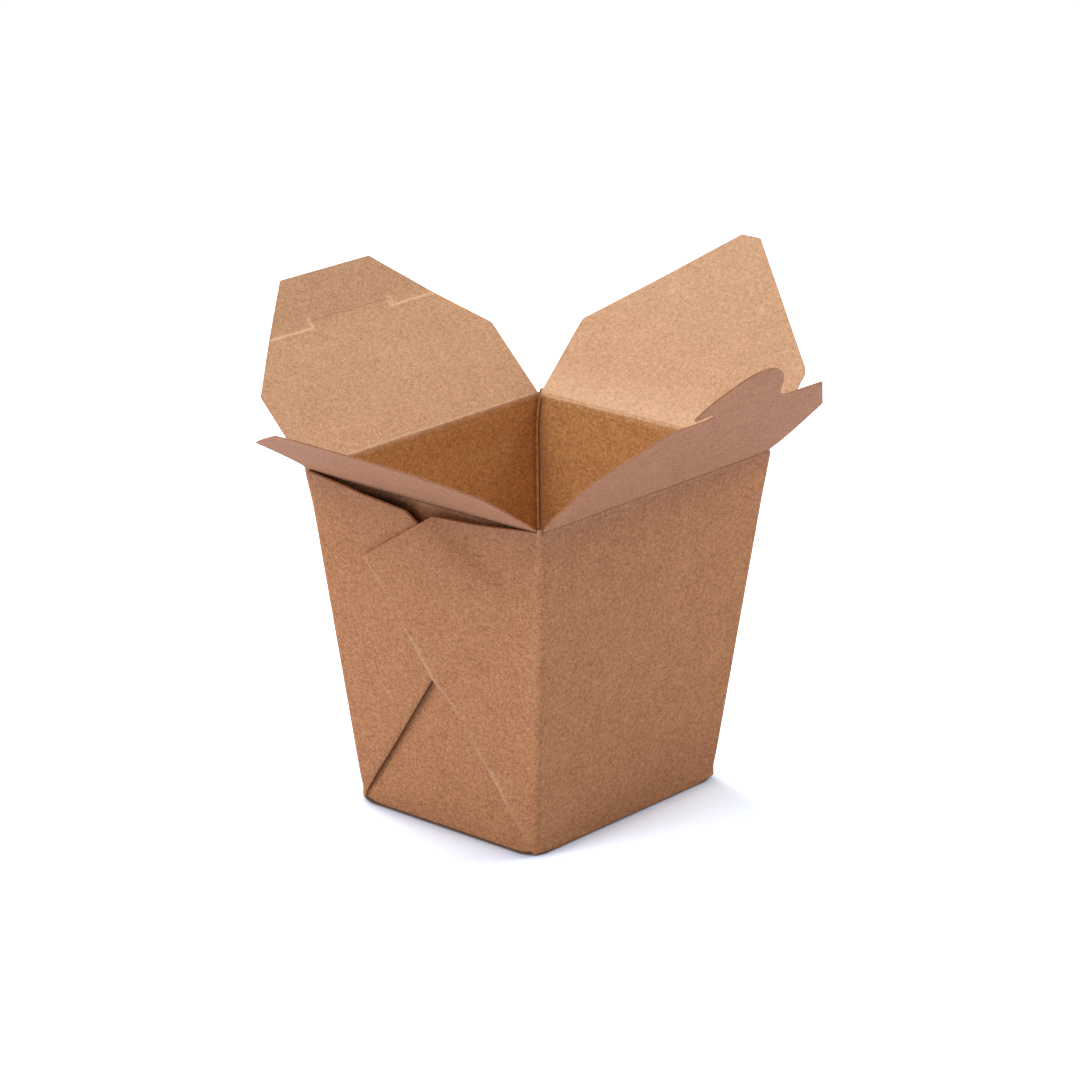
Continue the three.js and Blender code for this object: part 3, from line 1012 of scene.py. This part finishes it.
def kraft_board():
    n = Nodes("kraft_board")
    sheet = n.put("Attribute", attribute_name="sheet").outputs["Vector"]
    edge = n.put("Attribute", attribute_name="edge").outputs["Fac"]
    crease = n.put("Attribute", attribute_name="crease").outputs["Fac"]
    place = n.put("SeparateXYZ", {"Vector": sheet})
    height, depth = place.outputs["Y"], place.outputs["Z"]

    # Both faces change colour from the walls to the flaps, by painted light: painted shade on the
    # walls inside the tub and a painted greyish reflection on the flaps outside. A face's depth is
    # its LEVEL plus or minus FACE_GAP, and the inner faces have the minus.
    depth = n.math("ADD", depth, LEVEL_STEP / 2)
    below = n.math("MULTIPLY", n.math("FLOOR", n.math("DIVIDE", depth, LEVEL_STEP)), LEVEL_STEP)
    is_inner = n.math("LESS_THAN", n.math("SUBTRACT", depth, below), LEVEL_STEP / 2)
    on_flap = n.smooth(height, 93.0, 104.0)
    past_crease = n.smooth(height, 100.6, 101.9)
    low, high = (
        n.mix(is_inner, n.mix(on_flap, *outside), n.mix(past_crease, *inside))
        for outside, inside in zip(zip(OUTER_BOARD, OUTER_FLAP), zip(INNER_BOARD, INNER_FLAP))
    )

    mottle = n.noise(sheet, 0.95, 5, 0.68)
    grain = n.noise(sheet, 2.3, 2, 0.6)
    cloud = n.noise(sheet, 0.12, 3, 0.5)
    tone = n.math("ADD", n.ramp(mottle, 0.3, 0.7, -0.8, 0.8), n.ramp(grain, 0.3, 0.7, -0.75, 0.75))
    tone = n.math("ADD", tone, n.ramp(cloud, 0.3, 0.7, -0.12, 0.12))
    colour = n.mix(n.ramp(tone, -1.0, 1.0), low, high)

    # Pale upright marks near the rim, outside.
    marks = n.noise(n.mapped(sheet, (0, 0, 0), 0.0, (0.55, 0.03, 0.1)), 1.0, 2)
    outside = n.math("SUBTRACT", 1.0, n.math("MAXIMUM", is_inner, on_flap))
    near_rim = n.math("MULTIPLY", n.smooth(height, 80.0, 100.0), outside)
    marks = n.math("MULTIPLY", n.ramp(marks, 0.52, 0.7), near_rim)
    colour = n.mix(n.math("MULTIPLY", marks, 0.2), colour, PRESSED_MARK)

    # Pale and dark fibres, in four directions.
    wander = n.put("TexNoise", {"Vector": sheet, "Scale": 0.35, "Detail": 1.0}).outputs["Color"]
    shift = n.put("VectorMath", {0: wander, 1: (0.5, 0.5, 0.5)}, operation="SUBTRACT").outputs[0]
    shift = n.put("VectorMath", {0: shift, "Scale": 3.0}, operation="SCALE").outputs[0]
    bent = n.put("VectorMath", {0: sheet, 1: shift}, operation="ADD").outputs[0]
    pale, dark = 0.0, 0.0
    for k, turn in enumerate((12, 65, 118, 158)):
        place = n.mapped(bent, (7.3 * k, 3.1 * k, 11.0 * k), turn, (0.42, 3.6, 1))
        streak = n.noise(place, 1.0, 2, 0.45)
        pale = n.math("MAXIMUM", pale, n.ramp(streak, 0.66, 0.76))
        dark = n.math("MAXIMUM", dark, n.ramp(streak, 0.3, 0.2))
    colour = n.mix(n.math("MULTIPLY", pale, 0.6), colour, n.mix(0.5, high, PALE_FIBRE))
    colour = n.mix(n.math("MULTIPLY", dark, 0.6), colour, n.mix(0.5, low, DARK_FIBRE))

    # A few dark flecks, at two sizes.
    for turn, scale, chance, size in (
        (25, (0.3, 0.16, 0.3), 0.8, 0.055),
        (110, (0.24, 0.12, 0.24), 0.83, 0.05),
    ):
        place = n.mapped(bent, (turn, 0, 0), turn, scale)
        cells = n.put("TexVoronoi", {"Vector": place, "Scale": 1.0})
        pick = n.put("SeparateColor", {"Color": cells.outputs["Color"]}).outputs[0]
        chosen = n.math("GREATER_THAN", pick, chance)
        fleck = n.math("MULTIPLY", n.ramp(cells.outputs["Distance"], size, size * 0.5), chosen)
        colour = n.mix(n.math("MULTIPLY", fleck, 0.6), colour, FLECK)

    # Cut edges, then the crease tone: pale wear and painted highlight above 0, painted shade down to
    # -1, deeper painted shadow below.
    frayed = n.noise(sheet, 1.3, 3, 0.6)
    cut = n.mix(n.ramp(frayed, 0.54, 0.66), CUT_EDGE, WEAR_AND_HIGHLIGHT)
    colour = n.mix(n.math("MULTIPLY", edge, 0.8), colour, cut)
    wear_and_light = n.math("MAXIMUM", crease, 0.0)
    colour = n.mix(n.math("MULTIPLY", wear_and_light, n.ramp(frayed, 0.35, 0.6, 0.2, 0.7)), colour, WEAR_AND_HIGHLIGHT)
    shade_amount = n.ramp(crease, 0.0, -1.0)
    shade_amount = n.math("MULTIPLY", shade_amount, n.ramp(frayed, 0.65, 0.45, 0.35, 0.85))
    colour = n.mix(shade_amount, colour, PAINTED_SHADE)
    colour = n.mix(n.ramp(crease, -1.0, -2.0), colour, IN_SHADOW)

    relief = n.math("ADD", n.math("MULTIPLY", mottle, 0.6), n.math("MULTIPLY", grain, 0.4))
    relief = n.math("ADD", relief, n.math("MULTIPLY", pale, 0.25))
    rough = n.ramp(mottle, 0.3, 0.7, 0.78, 0.9)
    normal = n.put("Bump", {"Height": relief, "Strength": 0.55, "Distance": 0.06 * MM}).outputs[0]
    surface = {"Base Color": colour, "Normal": normal, "Roughness": rough, "Specular IOR Level": 0.3}
    shader = n.put("BsdfPrincipled", surface).outputs[0]
    n.put("OutputMaterial", {"Surface": shader})
    return n.material


# ---- the pieces
kraft = kraft_board()

tub = Shell()
add_cup(tub)
tub_piece = tub.piece("tub_board", kraft)
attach(tub_piece, "tub")
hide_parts("tub")

for side, side_name in ((-1, "left"), (1, "right")):
    for end, end_name in ((-1, "front"), (1, "back")):
        web = Shell()
        add_web(web, side, end)
        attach(web.piece(f"web_{side_name}_{end_name}", kraft), "tub")

# Each flap's outline, and its crease's tones: painted shade in the webs' pocket under the side
# flaps, painted shade on the back flap's inner face and the left flap's outer face, and painted
# light on the right flap's inner face, more towards its crease.
FLAP_PARTS = {
    "front": (front_flap_loop(), {}),
    "back": (back_panel_loop(), {"inner_shade": -0.06}),
    "left": (side_flap_loop(63.3, (42.4, 27.3), 1.6), {"below": -1.25, "outer_shade": -0.2}),
    "right": (
        side_flap_loop(67.0, (42.9, 27.7), 5.0),
        {"pale": 0.3, "below": -1.25, "inner_shade": 0.1, "wear_and_light": 0.45, "y_sign": -1},
    ),
}
for name, (loop, tones) in FLAP_PARTS.items():
    flap = FLAPS[name]
    mid, kind = (back_mid, back_kind) if name == "back" else (flap.mid, flap_kind)
    made = Shell()
    relief = crease_relief(**tones)
    bend_sheet(made, loop, mid, flap.pattern, kind, relief, facing=-1, rows=CREASE_ROWS)
    piece = made.piece(f"lid_flap_{name}", kraft)
    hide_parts(f"flap_{name}")
    flap.place(-1.0)
    flap.place(1.0)
    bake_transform(piece)

made = Shell()
pattern = FLAPS["back"].pattern
# The tip's inner face is darker than the panel's by painted shade.
relief = crease_relief(TIP_SCORE, inner_shade=-0.16)
rows = [TIP_SCORE + v for v in CREASE_ROWS if abs(v) < TIP_BLEND]
bend_sheet(made, back_tip_loop(), tip_mid, pattern, back_kind, relief, facing=-1, rows=rows)
piece = made.piece("lid_flap_back_tip", kraft)
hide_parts("flap_back_tip")
FLAPS["back"].place(TIP_SCORE - 0.8)
FLAPS["back"].place(TIP_SCORE + 0.8)
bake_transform(piece)


# ---- camera, floor and light
CAMERA_AZIMUTH = -49.18  # degrees, from the front towards +X
CAMERA_ELEVATION = 18.73
CAMERA_ROLL = 0.14
CAMERA_DISTANCE = 1.2257  # metres
CAMERA_TARGET = Vector((-0.00007, 0, 0.0774))
LENS = 140.77

FLOOR_LIT = (0.80, 0.83, 0.90, 1)  # what it sends on to the box
FLOOR_SEEN = (1.25, 1.40, 1.57, 1)  # over-exposed to white, as a studio sweep is
# The next two colours are a shadow painted on the floor beside the base, darkest under the base's
# edge; it fades over FLOOR_FADE.
FLOOR_PAINTED_SHADOW = (0.36, 0.41, 0.53, 1)  # beside the base
FLOOR_PAINTED_CONTACT_SHADOW = (0.17, 0.125, 0.09, 1)  # under the base's edge
FLOOR_ROUND = 5.0 * MM  # corner radius of the rectangle that shades it
FLOOR_FADE = 3.3 * MM  # the shade falls off over this distance


def towards(azimuth, elevation):
    """A direction from the box, by degrees round from the front and up."""
    a, e = math.radians(azimuth), math.radians(elevation)
    return Vector((math.sin(a) * math.cos(e), -math.cos(a) * math.cos(e), math.sin(e)))


def add_camera():
    azimuth, roll = math.radians(CAMERA_AZIMUTH), math.radians(CAMERA_ROLL)
    back = towards(CAMERA_AZIMUTH, CAMERA_ELEVATION)
    level = Vector((math.cos(azimuth), math.sin(azimuth), 0))
    upright = back.cross(level)
    right = level * math.cos(roll) + upright * math.sin(roll)
    up = upright * math.cos(roll) - level * math.sin(roll)
    data = bpy.data.cameras.new("camera")
    data.lens = LENS
    data.sensor_width = 36
    data.sensor_fit = "HORIZONTAL"
    data.clip_start, data.clip_end = 0.05, 50
    camera = bpy.data.objects.new("camera", data)
    matrix = Matrix((right, up, back)).transposed().to_4x4()
    matrix.translation = CAMERA_TARGET + back * CAMERA_DISTANCE
    camera.matrix_world = matrix
    bpy.context.scene.collection.objects.link(camera)
    bpy.context.scene.camera = camera


def add_floor():
    bpy.ops.mesh.primitive_circle_add(vertices=96, radius=6, fill_type="NGON")
    floor = bpy.context.object
    floor.name = "floor"
    n = Nodes("pale_floor")
    seen = n.put("LightPath").outputs["Is Camera Ray"]
    place = n.put("TexCoord").outputs["Object"]
    reach = n.put("VectorMath", {0: place}, operation="LENGTH").outputs["Value"]

    # The floor near the base gets a painted shadow, darkest under the base's edge. apart is the
    # distance from a rounded rectangle of the base's size.
    at = n.put("SeparateXYZ", {"Vector": place})
    squares = []
    for axis, half, centre in (("X", BASE[0], -0.4), ("Y", BASE[1], 0.0)):
        off = n.math("ABSOLUTE", n.math("SUBTRACT", at.outputs[axis], centre * MM))
        past = n.math("MAXIMUM", n.math("SUBTRACT", off, half * MM - FLOOR_ROUND), 0.0)
        squares.append(n.math("POWER", past, 2.0))
    apart = n.math("SUBTRACT", n.math("SQRT", n.math("ADD", *squares)), FLOOR_ROUND)
    apart = n.math("MAXIMUM", apart, 0.0)
    close = n.math("POWER", math.e, n.math("DIVIDE", apart, -FLOOR_FADE))
    clear = n.mix(close, FLOOR_SEEN, FLOOR_PAINTED_SHADOW)
    clear = n.mix(n.ramp(apart, 1.5 * MM, 0.6 * MM), clear, FLOOR_PAINTED_CONTACT_SHADOW)
    shader = n.put("BsdfDiffuse", {"Color": n.mix(seen, FLOOR_LIT, clear)}).outputs[0]

    # Further off the camera sees a white backdrop.
    backdrop = n.put("Emission", {"Color": (1, 1, 1, 1), "Strength": 1.0}).outputs[0]
    far = n.math("MULTIPLY", seen, n.ramp(reach, 0.5, 1.5))
    shader = n.put("MixShader", {0: far, 1: shader, 2: backdrop}).outputs[0]
    n.put("OutputMaterial", {"Surface": shader})
    floor.data.materials.append(n.material)


def add_light(name, azimuth, elevation, distance, size, power, colour=(1, 1, 1)):
    """A soft round light that faces the box; distance and size in metres, power in watts."""
    data = bpy.data.lights.new(name, "AREA")
    data.shape = "DISK"
    data.size = size
    data.energy = power
    data.color = colour
    lamp = bpy.data.objects.new(name, data)
    lamp.location = towards(azimuth, elevation) * distance
    lamp.rotation_euler = lamp.location.to_track_quat("Z", "Y").to_euler()
    bpy.context.scene.collection.objects.link(lamp)


add_camera()
add_floor()
add_light("low_left", -110, 20, 1.4, 0.7, 2.6)
add_light("left", -105, 48, 1.3, 0.7, 5.4)
add_light("high_left", -95, 68, 1.3, 0.7, 5.7, (0.92, 1, 1.15))
add_light("front", -20, 50, 1.4, 0.8, 2.1)
add_light("right", 60, 35, 1.4, 0.8, 8.1)
add_light("high_right", 70, 65, 1.4, 0.8, 4.9)
add_light("back", 160, 40, 1.4, 0.8, 8.4)
add_light("high_back", 160, 68, 1.4, 0.8, 7.6)
bpy.context.scene.view_settings.view_transform = "Standard"
